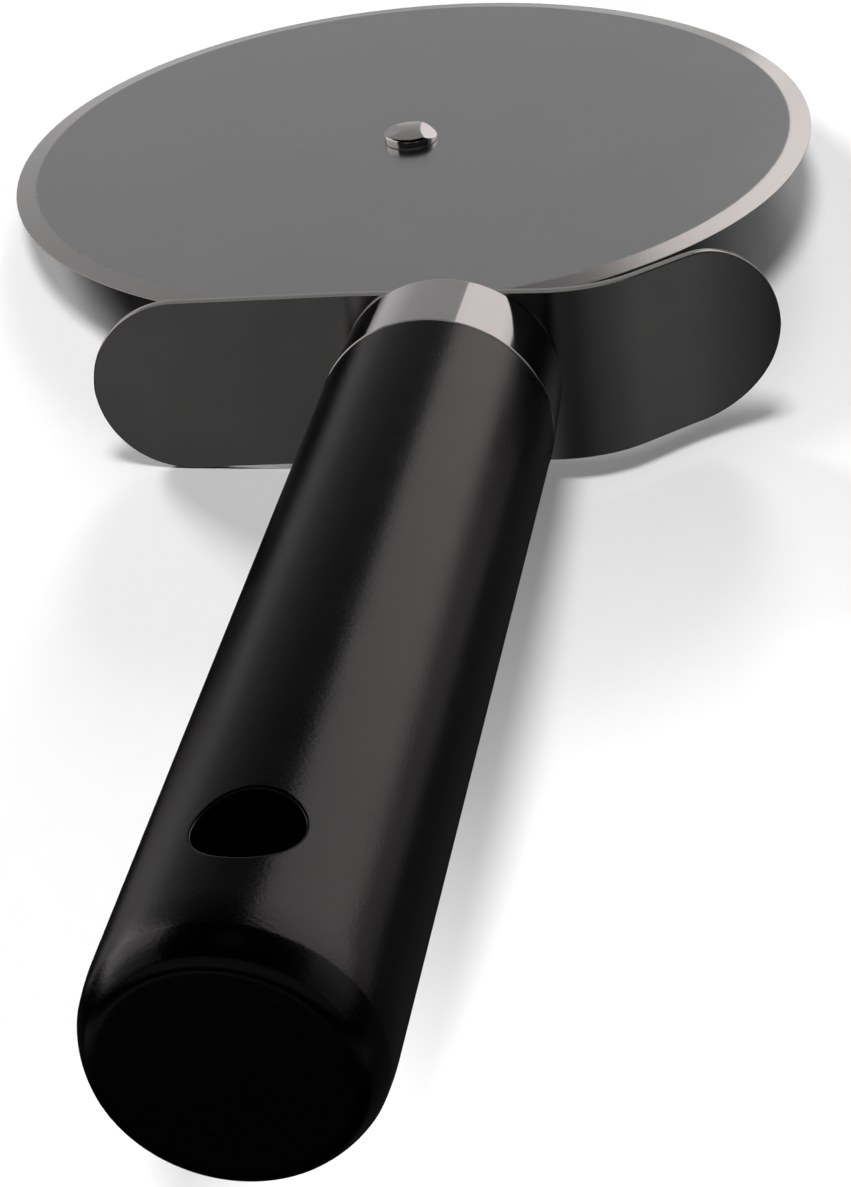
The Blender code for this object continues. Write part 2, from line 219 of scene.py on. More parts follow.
class GuardSettings(bpy.types.PropertyGroup):
    thickness: size("Thickness", "Thickness of the guard's strip", 0.0010)
    width: size("Width", "Width of the guard's strip", GUARD_HIGH.z - GUARD_LOW.z)
    bend_radius: size("Bend radius", "Radius of the two bends beside the handle", 0.0148)
    finger_reach: size("Finger reach", "Length of the plain wing from the handle's middle", 0.0405)
    finger_bend_start: size("Finger bend", "Where the plain wing's bend starts", 0.0098)
    finger_bend_angle: angle("Finger angle", "How far the plain wing turns forward", -3.6)
    thumb_reach: size("Thumb reach", "Length of the bent wing from the handle's middle", 0.0391)
    thumb_bend_start: size("Thumb bend", "Where the bent wing's bend starts", 0.0105)
    thumb_bend_angle: angle("Thumb angle", "How far the bent wing turns forward", 42.0)
    flare_start: size("Flare start", "Where the bent wing's tip starts to flare", 0.0272)
    flare_radius: size("Flare radius", "Radius of the flared tip", 0.0221)
    edge_rounding: size("Edge rounding", "Radius of the strip's buffed edges", 0.00018)
    metal_colour: colour("Colour", "Colour of the guard's steel", (0.55, 0.54, 0.53))
    roughness: share("Roughness", "Roughness of the guard's faces", 0.20)


class FerruleSettings(bpy.types.PropertyGroup):
    diameter: size("Diameter", "Width of the ferrule's rim", FERRULE_HIGH.x - FERRULE_LOW.x)
    web_hole: size(
        "Web hole", "Diameter of the web's hole", (FERRULE_HIGH.x - FERRULE_LOW.x) / 2
    )
    wall: size("Wall", "Thickness of the ferrule's sheet", 0.0010)
    front_diameter: size("Front diameter", "Width of the ferrule next to the guard", 0.0246)
    rounding: size("Rounding", "Radius of the drawn corner next to the guard", 0.0006)
    lip_rounding: size("Lip rounding", "Radius of the rim against the handle", 0.00015)
    metal_colour: colour("Colour", "Colour of the polished ferrule", (0.60, 0.585, 0.58))
    roughness: share("Roughness", "Roughness of the polished ferrule", 0.07)


class HandleSettings(bpy.types.PropertyGroup):
    diameter: size("Diameter", "Thickness of the grip", HANDLE_HIGH.x - HANDLE_LOW.x)
    front_rounding: size("Front rounding", "Radius of the edge against the ferrule", 0.0002)
    end_taper: size("End taper", "Distance from the end to where the taper starts", 0.0068)
    taper_length: size("Taper length", "Length of the slight taper before the crease", 0.0035)
    taper_turn: angle("Taper turn", "How far the surface has turned in at the crease", 7.0)
    crease_length: size("Crease length", "Length of the soft crease round the end", 0.00035)
    crease_turn: angle("Crease turn", "How far the surface turns at the crease", 9.0)
    cap_length: size("Cap length", "Length of the slope from the crease to the rim", 0.0024)
    cap_turn: angle("Cap turn", "How far the surface turns along that slope", 17.0)
    hole_diameter: size("Hole", "Diameter of the hanging hole", 0.0092)
    hole_from_end: size("Hole place", "Distance from the end to the hole's middle", 0.0158)
    lip: size("Hole lip", "Radius of the hole's moulded edge", 0.00035)
    plastic_colour: colour("Colour", "Colour of the black plastic", (0.0040, 0.0038, 0.0038))
    roughness: share("Roughness", "Roughness of the satin plastic", 0.22)


class StageSettings(bpy.types.PropertyGroup):
    floor_size: size("Floor", "Width of the pale floor", 30.0, high=100.0)
    floor_colour: colour("Floor colour", "Colour of the pale floor", (0.80, 0.80, 0.80))
    light_strength: brightness("Light", "Strength of the soft light that falls on the floor")
    softness: angle("Softness", "How wide each soft light looks from the floor", 18.0)
    panel_strength: brightness("Panels", "Brightness of the soft boxes that the tool mirrors")


class CutterSettings(bpy.types.PropertyGroup):
    disc: PointerProperty(type=DiscSettings)
    rivet: PointerProperty(type=RivetSettings)
    arm: PointerProperty(type=ArmSettings)
    guard: PointerProperty(type=GuardSettings)
    ferrule: PointerProperty(type=FerruleSettings)
    handle: PointerProperty(type=HandleSettings)
    stage: PointerProperty(type=StageSettings)


# Meshes


def arc(centre, radius, start, end, steps=ARC_STEPS):
    """Points of an arc between two angles in degrees."""
    points = []
    for i in range(steps + 1):
        turn = math.radians(start + (end - start) * i / steps)
        points.append((centre[0] + radius * math.cos(turn), centre[1] + radius * math.sin(turn)))
    return points


def rounded(start, corner, end, part):
    """The place at a part of the way along the curve that rounds off a corner."""
    return start * (1 - part) ** 2 + corner * 2 * part * (1 - part) + end * part**2


def supported(points, distance):
    """The same line with a point added close to each end of its longer stretches."""
    line = [Vector(p) for p in points]
    made = [line[0]]
    for before, after in zip(line, line[1:]):
        length = (after - before).length
        if length > 4 * distance:
            made.append(before.lerp(after, distance / length))
            made.append(after.lerp(before, distance / length))
        made.append(after)
    return [tuple(p) for p in made]


def lathe(profile, steps, closed):
    """A bmesh of (radius, height) points turned about Z."""
    bm = bmesh.new()
    rings = []
    for radius, height in profile:
        count = steps if radius > MERGE_DISTANCE else 1
        ring = []
        for i in range(count):
            turn = math.tau * i / steps
            ring.append(bm.verts.new((radius * math.cos(turn), radius * math.sin(turn), height)))
        rings.append(ring)
    pairs = list(zip(rings, rings[1:]))
    if closed:
        pairs.append((rings[-1], rings[0]))
    for upper, lower in pairs:
        for i in range(steps):
            corners = [
                upper[i % len(upper)],
                upper[(i + 1) % len(upper)],
                lower[(i + 1) % len(lower)],
                lower[i % len(lower)],
            ]
            corners = list(dict.fromkeys(corners))
            if len(corners) > 2:
                bm.faces.new(corners)
    bmesh.ops.recalc_face_normals(bm, faces=bm.faces)
    return bm


def new_piece(name, bm, place=Matrix.Identity(4)):
    """An object made from a bmesh, smooth but for its real edges."""
    mesh = bpy.data.meshes.new(name)
    bm.to_mesh(mesh)
    bm.free()
    mesh.shade_smooth()
    mesh.set_sharp_from_angle(angle=SHARP_ANGLE)
    return new_object(name, mesh, place)


def new_object(name, data, place):
    """An object in the scene, in place of any earlier one of its name."""
    earlier = bpy.data.objects.get(name)
    if earlier:
        bpy.data.objects.remove(earlier, do_unlink=True)
    obj = bpy.data.objects.new(name, data)
    bpy.context.scene.collection.objects.link(obj)
    obj.matrix_world = place
    return obj


def apply_modifiers(obj):
    """Turns the object's modifiers into its own mesh."""
    bpy.context.view_layer.update()
    evaluated = obj.evaluated_get(bpy.context.evaluated_depsgraph_get())
    mesh = bpy.data.meshes.new_from_object(evaluated)
    mesh.name = obj.name
    obj.modifiers.clear()
    obj.data = mesh


def finish_piece(obj, material, body, node):
    """Gives a piece its finish and ties it to the frame."""
    obj.data.materials.clear()
    obj.data.materials.append(material)
    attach(obj, body)
    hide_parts(node)


def along_grip(y):
    """The place of a turned piece whose own Z runs forward along the handle's axis."""
    return Matrix.Translation((GRIP_X, y, GRIP_Z)) @ Matrix.Rotation(-math.pi / 2, 4, "X")


def disc_mesh(settings):
    """The plate, ground to an edge from both faces."""
    radius = settings.diameter / 2
    half = settings.thickness / 2
    flat = radius - settings.edge_width
    thin = settings.edge_thickness / 2
    slope = Vector((settings.edge_width, thin - half)).normalized() * settings.edge_blend / 2
    upper = [(settings.bore / 2, half), (flat - settings.edge_blend / 2, half)]
    start = Vector(upper[-1])
    corner = Vector((flat, half))
    end = corner + slope
    for i in range(1, ARC_STEPS + 1):
        upper.append(tuple(rounded(start, corner, end, i / ARC_STEPS)))
    upper.append((radius - thin, thin))
    upper += arc((radius - thin, 0.0), thin, 60, 0, ARC_STEPS // 4)
    lower = [(r, -z) for r, z in reversed(upper[:-1])]
    profile = supported(upper, DISC_SUPPORT) + supported(lower, DISC_SUPPORT)
    return lathe(profile, DISC_STEPS, True)


def rivet_mesh(settings):
    """Head, axle, neck and upset tail, with the head seated on the disc."""
    disc_top = DISC_HIGH.z - AXLE.z
    top = RIVET_HIGH.z - AXLE.z
    shoulder = top - settings.head_crown
    head = settings.head_diameter / 2
    crown = head - settings.head_rounding
    profile = []
    for i in range(ARC_STEPS):
        part = i / ARC_STEPS
        rise = settings.head_crown * (1 - part**CROWN_POWER)
        profile.append((crown * part, shoulder + rise))
    centre = (crown, shoulder - settings.head_rounding)
    profile += arc(centre, settings.head_rounding, 90, 0)
    under = disc_top + CONTACT
    foot = settings.foot_rounding
    profile += arc((head - foot, under + foot), foot, 0, -90, ARC_STEPS // 2)
    axle = settings.axle_diameter / 2
    neck = settings.neck_diameter / 2
    tail = settings.tail_diameter / 2
    arm_top = ARM_HIGH.z - AXLE.z
    arm_low = ARM_LOW.z - AXLE.z - CONTACT
    profile += [(axle, under), (axle, arm_top), (neck, arm_top), (neck, arm_low)]
    profile.append((tail - foot, arm_low))
    for i in range(1, ARC_STEPS + 1):
        turn = math.radians(90.0 * i / ARC_STEPS)
        drop = (settings.tail_height + SEAT_GAP) * math.sin(turn)
        profile.append((tail * math.cos(turn), arm_low - drop))
    profile[-1] = (0.0, profile[-1][1])
    bm = lathe(profile, RIVET_STEPS, False)
    flatten_head(bm, settings, top, under + 2 * foot)
    return bm


def flatten_head(bm, settings, top, lowest):
    """Presses the peened facet and the leaning left part into the rivet's head."""
    to_facet = Vector((math.cos(settings.facet_turn), math.sin(settings.facet_turn), 0.0))
    to_left = Vector((-1.0, 0.0, 0.0))
    slopes = (
        (to_facet, settings.facet_slope, settings.facet_start),
        (to_left, settings.lean_slope, settings.lean_start),
    )
    for vertex in bm.verts:
        if vertex.co.z > lowest:
            for way, slope, start in slopes:
                most = top - math.tan(slope) * (vertex.co.dot(way) - start)
                vertex.co.z = max(lowest, min(vertex.co.z, most))


def washer_mesh(settings):
    """A flat ring that fills the space between the disc and the arm."""
    outer = (WASHER_HIGH.x - WASHER_LOW.x) / 2
    bore = settings.washer_bore / 2
    edge = settings.washer_rounding
    top = DISC_LOW.z - AXLE.z - CONTACT
    low = ARM_HIGH.z - AXLE.z + CONTACT
    profile = [(bore, top)]
    profile += arc((outer - edge, top - edge), edge, 90, 0, ARC_STEPS // 3)
    profile += arc((outer - edge, low + edge), edge, 0, -90, ARC_STEPS // 3)
    profile.append((bore, low))
    return lathe(supported(profile, EDGE_SUPPORT), RIVET_STEPS, True)


def tang_side(settings, end_y, shoulder_y):
    """One long side of the tang, from its end to the shoulder, with V notches that hold it."""
    half = settings.tang_width / 2
    pitch = (FERRULE_LOW.y - SEAT_GAP - end_y) / (settings.notch_count + 1)
    points = [(half, end_y)]
    for i in range(1, settings.notch_count + 1):
        middle = end_y + pitch * i
        points.append((half, middle - settings.notch_depth))
        points.append((half - settings.notch_depth, middle))
        points.append((half, middle + settings.notch_depth))
    points.append((half, shoulder_y))
    return points


def arm_outline(settings, shoulder_y):
    """The stamping seen from above: tang, shoulders, bend and a round eye about the axle."""
    half = settings.width / 2
    bend_y = shoulder_y + settings.straight_length
    slant = math.atan2(GRIP_X - AXLE.x, AXLE.y - bend_y)
    mitre = half * math.tan(slant / 2)
    side = tang_side(settings, ARM_LOW.y, shoulder_y)
    right = [(GRIP_X + x, y) for x, y in side]
    left = [(GRIP_X - x, y) for x, y in reversed(side)]
    right += [(GRIP_X + half, shoulder_y), (GRIP_X + half, bend_y + mitre)]
    start = math.degrees(slant)
    eye = arc((AXLE.x, AXLE.y), half, start, start + 180.0, 8 * ARC_STEPS)
    left = [(GRIP_X - half, bend_y - mitre), (GRIP_X - half, shoulder_y)] + left
    return right + eye + left


def outline_curve(name, loops, thickness, edge):
    """A flat filled curve with rounded edges; the loops are its outside and its holes."""
    curve = bpy.data.curves.new(name, "CURVE")
    curve.dimensions = "2D"
    curve.fill_mode = "BOTH"
    curve.extrude = thickness / 2 - edge
    curve.bevel_depth = edge
    curve.bevel_resolution = 3
    curve.offset = -edge
    for loop in loops:
        spline = curve.splines.new("POLY")
        spline.points.add(len(loop) - 1)
        for point, (x, y) in zip(spline.points, loop):
            point.co = (x, y, 0.0, 1.0)
        spline.use_cyclic_u = True
    return curve


def curve_mesh(curve):
    """A bmesh of a filled curve, with the points joined where its faces meet."""
    shown = new_object(curve.name + "_outline", curve, Matrix.Identity(4))
    bpy.context.view_layer.update()
    evaluated = shown.evaluated_get(bpy.context.evaluated_depsgraph_get())
    bm = bmesh.new()
    bm.from_mesh(evaluated.to_mesh())
    bmesh.ops.remove_doubles(bm, verts=bm.verts, dist=MERGE_DISTANCE)
    bmesh.ops.recalc_face_normals(bm, faces=bm.faces)
    bpy.data.objects.remove(shown, do_unlink=True)
    return bm


def wing_parts(settings, side):
    """The strip from the handle's middle to one tip, as (length, curvature toward the front)."""
    if side < 0:
        bend = settings.bend_radius * abs(settings.finger_bend_angle)
        curvature = math.copysign(1.0 / settings.bend_radius, settings.finger_bend_angle)
        start = settings.finger_bend_start
        return [(start, 0.0), (bend, curvature), (settings.finger_reach - start - bend, 0.0)]
    bend = settings.bend_radius * settings.thumb_bend_angle
    start = settings.thumb_bend_start
    return [
        (start, 0.0),
        (bend, 1.0 / settings.bend_radius),
        (settings.flare_start - start - bend, 0.0),
        (settings.thumb_reach - settings.flare_start, -1.0 / settings.flare_radius),
    ]


def wing_place(settings, side, distance, middle_y):
    """Place in plan of the guard's middle surface, a distance along one wing."""
    out = 0.0
    forward = 0.0
    turned = 0.0
    left = distance
    for length, curvature in wing_parts(settings, side):
        step = min(left, length)
        turn = step * curvature
        chord = step if turn == 0.0 else 2.0 * math.sin(turn / 2) / curvature
        out += chord * math.cos(turned + turn / 2)
        forward += chord * math.sin(turned + turn / 2)
        turned += turn
        left -= step
    return GRIP_X + side * out, middle_y + forward


def wing_stations(settings, side):
    """Distances along one wing, with half the strip's width at each."""
    full = settings.width / 2
    parts = wing_parts(settings, side)
    reach = sum(length for length, curvature in parts)
    stations = []
    done = 0.0
    for length, curvature in parts:
        steps = max(4, math.ceil(length * abs(curvature) / BEND_STEP))
        for i in range(1, steps + 1):
            along = done + length * i / steps
            if along < reach - full - MERGE_DISTANCE:
                stations.append((along, full))
        done += length
    for half_width, along in arc((0.0, reach - full), full, 0.0, 90.0, 6 * ARC_STEPS):
        stations.append((along, half_width))
    return stations


def wing_columns(settings, side, middle_y):
    """Place in plan of each station of one wing, with half the strip's width there."""
    return [
        (*wing_place(settings, side, along, middle_y), half)
        for along, half in wing_stations(settings, side)
    ]


def guard_mesh(settings, middle_y):
    """The strip's middle surface: a grid laid along it, with round ends."""
    rows = [i / GUARD_HALF_ROWS for i in range(-GUARD_HALF_ROWS, GUARD_HALF_ROWS + 1)]
    columns = wing_columns(settings, -1, middle_y)[::-1]
    columns.append((GRIP_X, middle_y, settings.width / 2))
    columns += wing_columns(settings, 1, middle_y)
    bm = bmesh.new()
    grid = []
    for x, y, half in columns:
        grid.append([bm.verts.new((x, y, STRIP_HEIGHT + half * row)) for row in rows])
    for left, right in zip(grid, grid[1:]):
        for i in range(len(rows) - 1):
            bm.faces.new((left[i], right[i], right[i + 1], left[i + 1]))
    bmesh.ops.remove_doubles(bm, verts=bm.verts, dist=MERGE_DISTANCE)
    bmesh.ops.dissolve_degenerate(bm, edges=bm.edges, dist=MERGE_DISTANCE)
    bmesh.ops.recalc_face_normals(bm, faces=bm.faces)
    return bm


def smooth_faces(mesh, settings, middle_y):
    """Gives both broad faces of the guard the exact normals of its bent surface."""
    middle = []
    for side in (-1, 1):
        reach = sum(length for length, curvature in wing_parts(settings, side))
        for i in range(GUARD_SAMPLES):
            near = wing_place(settings, side, reach * i / GUARD_SAMPLES, middle_y)
            far = wing_place(settings, side, reach * (i + 1) / GUARD_SAMPLES, middle_y)
            way = Vector((far[0] - near[0], far[1] - near[1], 0.0)).normalized()
            spot = Vector(((near[0] + far[0]) / 2, (near[1] + far[1]) / 2, 0.0))
            middle.append((spot, Vector((-way.y, way.x, 0.0)) * side))
    tree = KDTree(len(middle))
    for i, (spot, normal) in enumerate(middle):
        tree.insert(spot, i)
    tree.balance()
    normals = []
    for vertex in mesh.vertices:
        flat = Vector((vertex.co.x, vertex.co.y, 0.0))
        spot, normal = middle[tree.find(flat)[1]]
        height = (flat - spot).dot(normal)
        if abs(height) > settings.thickness / 2 - FACE_TOLERANCE:
            normals.append(normal if height > 0 else -normal)
        else:
            normals.append(Vector((0.0, 0.0, 0.0)))
    mesh.normals_split_custom_set_from_vertices(normals)


def ferrule_mesh(settings, front, rear):
    """A drawn cup, turned about Z, from its web at the front to its wider rim at the rear."""
    radius = settings.diameter / 2
    narrow = settings.front_diameter / 2
    taper = math.degrees(math.atan2(radius - narrow, front - rear))
    hole = settings.web_hole / 2
    rounding = settings.rounding
    lip = settings.lip_rounding
    profile = [(hole, front)]
    profile += arc((narrow - rounding, front - rounding), rounding, 90, taper)
    profile += arc((radius - lip, rear + lip), lip, taper, -90, ARC_STEPS // 2)
    profile.append((radius - settings.wall, rear))
    profile.append((narrow - settings.wall, front - settings.wall))
    profile.append((hole, front - settings.wall))
    return lathe(supported(profile, EDGE_SUPPORT), GRIP_STEPS, True)


def end_line(settings, radius, length):
    """(radius, place) points of the handle's end: a slight taper, a crease, a slope and a rim."""
    bends = (
        (settings.taper_length, settings.taper_turn),
        (settings.crease_length, settings.crease_turn),
        (settings.cap_length, settings.cap_turn),
    )
    place = length - settings.end_taper
    slope = 0.0
    points = [(radius, place)]
    for arc_length, turn in bends:
        for i in range(ARC_STEPS):
            middle = slope + turn * (i + 0.5) / ARC_STEPS
            radius -= arc_length / ARC_STEPS * math.sin(middle)
            place += arc_length / ARC_STEPS * math.cos(middle)
            points.append((radius, place))
        slope += turn
    rim = (length - place) / (1 - math.sin(slope))
    centre = (radius - rim * math.cos(slope), length - rim)
    points += arc(centre, rim, math.degrees(slope), 90.0, 2 * ARC_STEPS)[1:]
    return points


def even_rows(radius, start, end, steps):
    """Evenly spaced rows of one radius, after the start and up to the end."""
    return [(radius, start + (end - start) * i / steps) for i in range(1, steps + 1)]


def handle_rows(settings, length):
    """(radius, place) rows of the grip from its front to its end, and the window's two rows."""
    radius = settings.diameter / 2
    taper = length - settings.end_taper
    hole = length - settings.hole_from_end
    reach = settings.hole_diameter / 2 + HOLE_MARGIN
    front = settings.front_rounding
    corner = arc((radius - front, -front), front, 90, 0, ARC_STEPS // 2)
    rows = [(0.0, 0.0), (radius - 2 * front, 0.0)]
    rows += [(r, -y) for r, y in corner]
    rows += [(radius, place) for place in FRONT_SUPPORTS]
    rows += even_rows(radius, FRONT_SUPPORTS[-1], hole - reach, BARREL_STEPS)
    window_front = len(rows) - 1
    rows += even_rows(radius, hole - reach, hole + reach, WINDOW_STEPS)
    window_rear = len(rows) - 1
    rows.append((radius, (hole + reach + taper) / 2))
    rows += end_line(settings, radius, length)
    rows += [(rows[-1][0] - END_SUPPORT, length), (0.0, length)]
    return rows, window_front, window_rear


def grip_ring(bm, radius, y):
    """One row of the grip: a ring of points from the top round, or one point on the axis."""
    if radius < MERGE_DISTANCE:
        return [bm.verts.new((0.0, y, 0.0))] * GRIP_STEPS
    turns = [math.tau * i / GRIP_STEPS for i in range(GRIP_STEPS)]
    return [bm.verts.new((radius * math.sin(turn), y, radius * math.cos(turn))) for turn in turns]


def handle_mesh(settings, length):
    """The grip about its own Y, which runs to the rear, with a moulded hole across it."""
    rows, front_row, rear_row = handle_rows(settings, length)
    hole = length - settings.hole_from_end
    reach = settings.hole_diameter / 2 + HOLE_MARGIN
    spread = math.asin(reach / (settings.diameter / 2))
    half_window = math.ceil(spread / math.tau * GRIP_STEPS)
    half_turn = GRIP_STEPS // 2
    bm = bmesh.new()
    grid = [grip_ring(bm, radius, y) for radius, y in rows]
    for row, (ahead, behind) in enumerate(zip(grid, grid[1:])):
        in_window = front_row <= row < rear_row
        for i in range(GRIP_STEPS):
            from_top = (i + half_turn) % GRIP_STEPS - half_turn
            from_bottom = i - half_turn
            if in_window and any(-half_window <= k < half_window for k in (from_top, from_bottom)):
                continue
            j = (i + 1) % GRIP_STEPS
            bm.faces.new(list(dict.fromkeys((ahead[i], ahead[j], behind[j], behind[i]))))
    walls = []
    for up in (1, -1):
        border = window_border(grid[front_row : rear_row + 1], half_window, up)
        walls.append(hole_rings(bm, border, settings, hole, up))
    close_rings(bm, walls[0], walls[1])
    bmesh.ops.recalc_face_normals(bm, faces=bm.faces)
    return bm


def window_border(grid, half_window, up):
    """The points round the window that is left open in the grip, on its top or its underside."""
    middle = 0 if up > 0 else GRIP_STEPS // 2
    across = [(middle + up * k) % GRIP_STEPS for k in range(-half_window, half_window + 1)]
    border = [grid[0][i] for i in across]
    border += [ring[across[-1]] for ring in grid[1:]]
    border += [grid[-1][i] for i in across[-2::-1]]
    border += [ring[across[0]] for ring in grid[-2:0:-1]]
    return border


def hole_rings(bm, border, settings, hole, up):
    """Fills a window of the grip with rings that run in to the hole and over its lip."""
    radius = settings.diameter / 2
    bore = settings.hole_diameter / 2
    lip = settings.lip
    inward = Vector((0.0, 0.0, -up * lip))

    def on_surface(x, y):
        return Vector((x, y, up * math.sqrt(radius**2 - x**2)))

    starts = [Vector((vertex.co.x, vertex.co.y - hole)) for vertex in border]
    ways = [start.normalized() for start in starts]
    outer = border
    for i in range(1, RING_STEPS + 1):
        part = 1 - (1 - i / RING_STEPS) ** RING_POWER
        ring = []
        for start, way in zip(starts, ways):
            spot = start.lerp(way * (bore + lip), part)
            ring.append(bm.verts.new(on_surface(spot.x, spot.y + hole)))
        close_rings(bm, outer, ring)
        outer = ring
    for i in range(1, LIP_STEPS + 1):
        ring = []
        for way in ways:
            start = on_surface(way.x * (bore + lip), way.y * (bore + lip) + hole)
            corner = on_surface(way.x * bore, way.y * bore + hole)
            ring.append(bm.verts.new(rounded(start, corner, corner + inward, i / LIP_STEPS)))
        close_rings(bm, outer, ring)
        outer = ring
    ring = [bm.verts.new(vertex.co + inward) for vertex in outer]
    close_rings(bm, outer, ring)
    return ring


def close_rings(bm, first, second):
    """Faces between two rings of as many points."""
    count = len(first)
    for i in range(count):
        j = (i + 1) % count
        bm.faces.new((first[i], first[j], second[j], second[i]))


# Finishes

# Between these a noise has nearly all its values
NOISE_LOW = 0.3
NOISE_HIGH = 0.7

# Width and depth of the fine grain in each plain steel
STEEL_GRAINS = {
    "rivet_steel": (0.0002, 0.000001),
    "arm_steel": (0.0003, 0.000004),
    "washer_steel": (0.0003, 0.000004),
    "guard_steel": (0.00025, 0.000003),
    "ferrule_steel": (0.0002, 0.0000006),
}

# How far the line between the disc's flat and its ground slope wanders, and how soft it is
LINE_WANDER = 0.0002
LINE_SOFTNESS = (-0.00025, 0.0002)

# Fineness of the grinding marks, round the disc and across its slope
MARKS_ROUND = 90.0
MARKS_ACROSS = 9000.0

# A Mix node's sockets for colours: its factor, its two colours and its result
MIX_FACTOR = 0
MIX_FIRST = 6
MIX_SECOND = 7
MIX_RESULT = 2


def set_inputs(tree, node, inputs):
    """Sets a node's named inputs to values or links them to sockets."""
    for name, value in inputs.items():
        if isinstance(value, bpy.types.NodeSocket):
            tree.links.new(value, node.inputs[name])
        else:
            node.inputs[name].default_value = value


def add_node(tree, kind, inputs=None, **settings):
    """A node with its settings and its inputs."""
    node = tree.nodes.new(kind)
    for name, value in settings.items():
        setattr(node, name, value)
    set_inputs(tree, node, inputs or {})
    return node


def noise(tree, vector, grain, detail=3.0, roughness=0.55):
    """Noise whose grains are about as wide as the given length."""
    node = add_node(
        tree,
        "ShaderNodeTexNoise",
        {"Vector": vector, "Scale": 1.0 / grain, "Detail": detail, "Roughness": roughness},
    )
    return node.outputs["Fac"]


def ranged(tree, value, low, high, to_low, to_high, smooth=False):
    """A value whose run from low to high is carried over to another run."""
    node = add_node(
        tree,
        "ShaderNodeMapRange",
        {"Value": value, "From Min": low, "From Max": high, "To Min": to_low, "To Max": to_high},
        interpolation_type="SMOOTHSTEP" if smooth else "LINEAR",
    )
    return node.outputs["Result"]


def wandering(tree, grains, low, high):
    """A value that wanders between low and high with a noise."""
    return ranged(tree, grains, NOISE_LOW, NOISE_HIGH, low, high)


def math_node(tree, operation, first, second):
    """The result of one operation on two numbers or sockets."""
    node = add_node(tree, "ShaderNodeMath", {0: first, 1: second}, operation=operation)
    return node.outputs[0]


def mixed(tree, factor, first, second):
    """A colour between two colours, or between the outputs that carry them."""
    inputs = {MIX_FACTOR: factor, MIX_FIRST: first, MIX_SECOND: second}
    return add_node(tree, "ShaderNodeMix", inputs, data_type="RGBA").outputs[MIX_RESULT]


def shaded(colour_value, factor):
    """A darker or lighter shade of a colour, opaque."""
    return (*(min(1.0, part * factor) for part in colour_value), 1.0)


def two_toned(tree, factor, colour_value, dark, light):
    """A colour that runs from a darker to a lighter shade of itself."""
    return mixed(tree, factor, shaded(colour_value, dark), shaded(colour_value, light))


def new_material(name):
    """A fresh material, with its node tree, its shader and the place on the piece."""
    earlier = bpy.data.materials.get(name)
    if earlier:
        bpy.data.materials.remove(earlier)
    material = bpy.data.materials.new(name)
    material.use_nodes = True
    tree = material.node_tree
    shader = tree.nodes["Principled BSDF"]
    place = tree.nodes.new("ShaderNodeTexCoord").outputs["Object"]
    return material, tree, shader, place


def bumped(tree, shader, heights):
    """Chains bumps, each a height, its depth in metres and its strength."""
    normal = None
    for height, depth, strength in heights:
        inputs = {"Height": height, "Distance": depth, "Strength": strength}
        if normal:
            inputs["Normal"] = normal
        normal = add_node(tree, "ShaderNodeBump", inputs).outputs["Normal"]
    set_inputs(tree, shader, {"Normal": normal})


def steel(name, metal, roughness):
    """Steel with a fine grain, faint clouds of tone and a roughness that wanders with them."""
    material, tree, shader, place = new_material(name)
    grain, depth = STEEL_GRAINS[name]
    clouds = noise(tree, place, grain=0.009, detail=2.0)
    fine = noise(tree, place, grain)
    tone = two_toned(tree, clouds, metal, dark=0.94, light=1.04)
    tone = mixed(tree, wandering(tree, fine, 0.0, 0.22), tone, shaded(metal, 0.84))
    rough = wandering(tree, clouds, roughness * 0.9, roughness * 1.12)
    set_inputs(tree, shader, {"Base Color": tone, "Roughness": rough, "Metallic": 1.0})
    bumped(tree, shader, [(clouds, 0.00002, 0.25), (fine, depth, 0.5)])
    return material


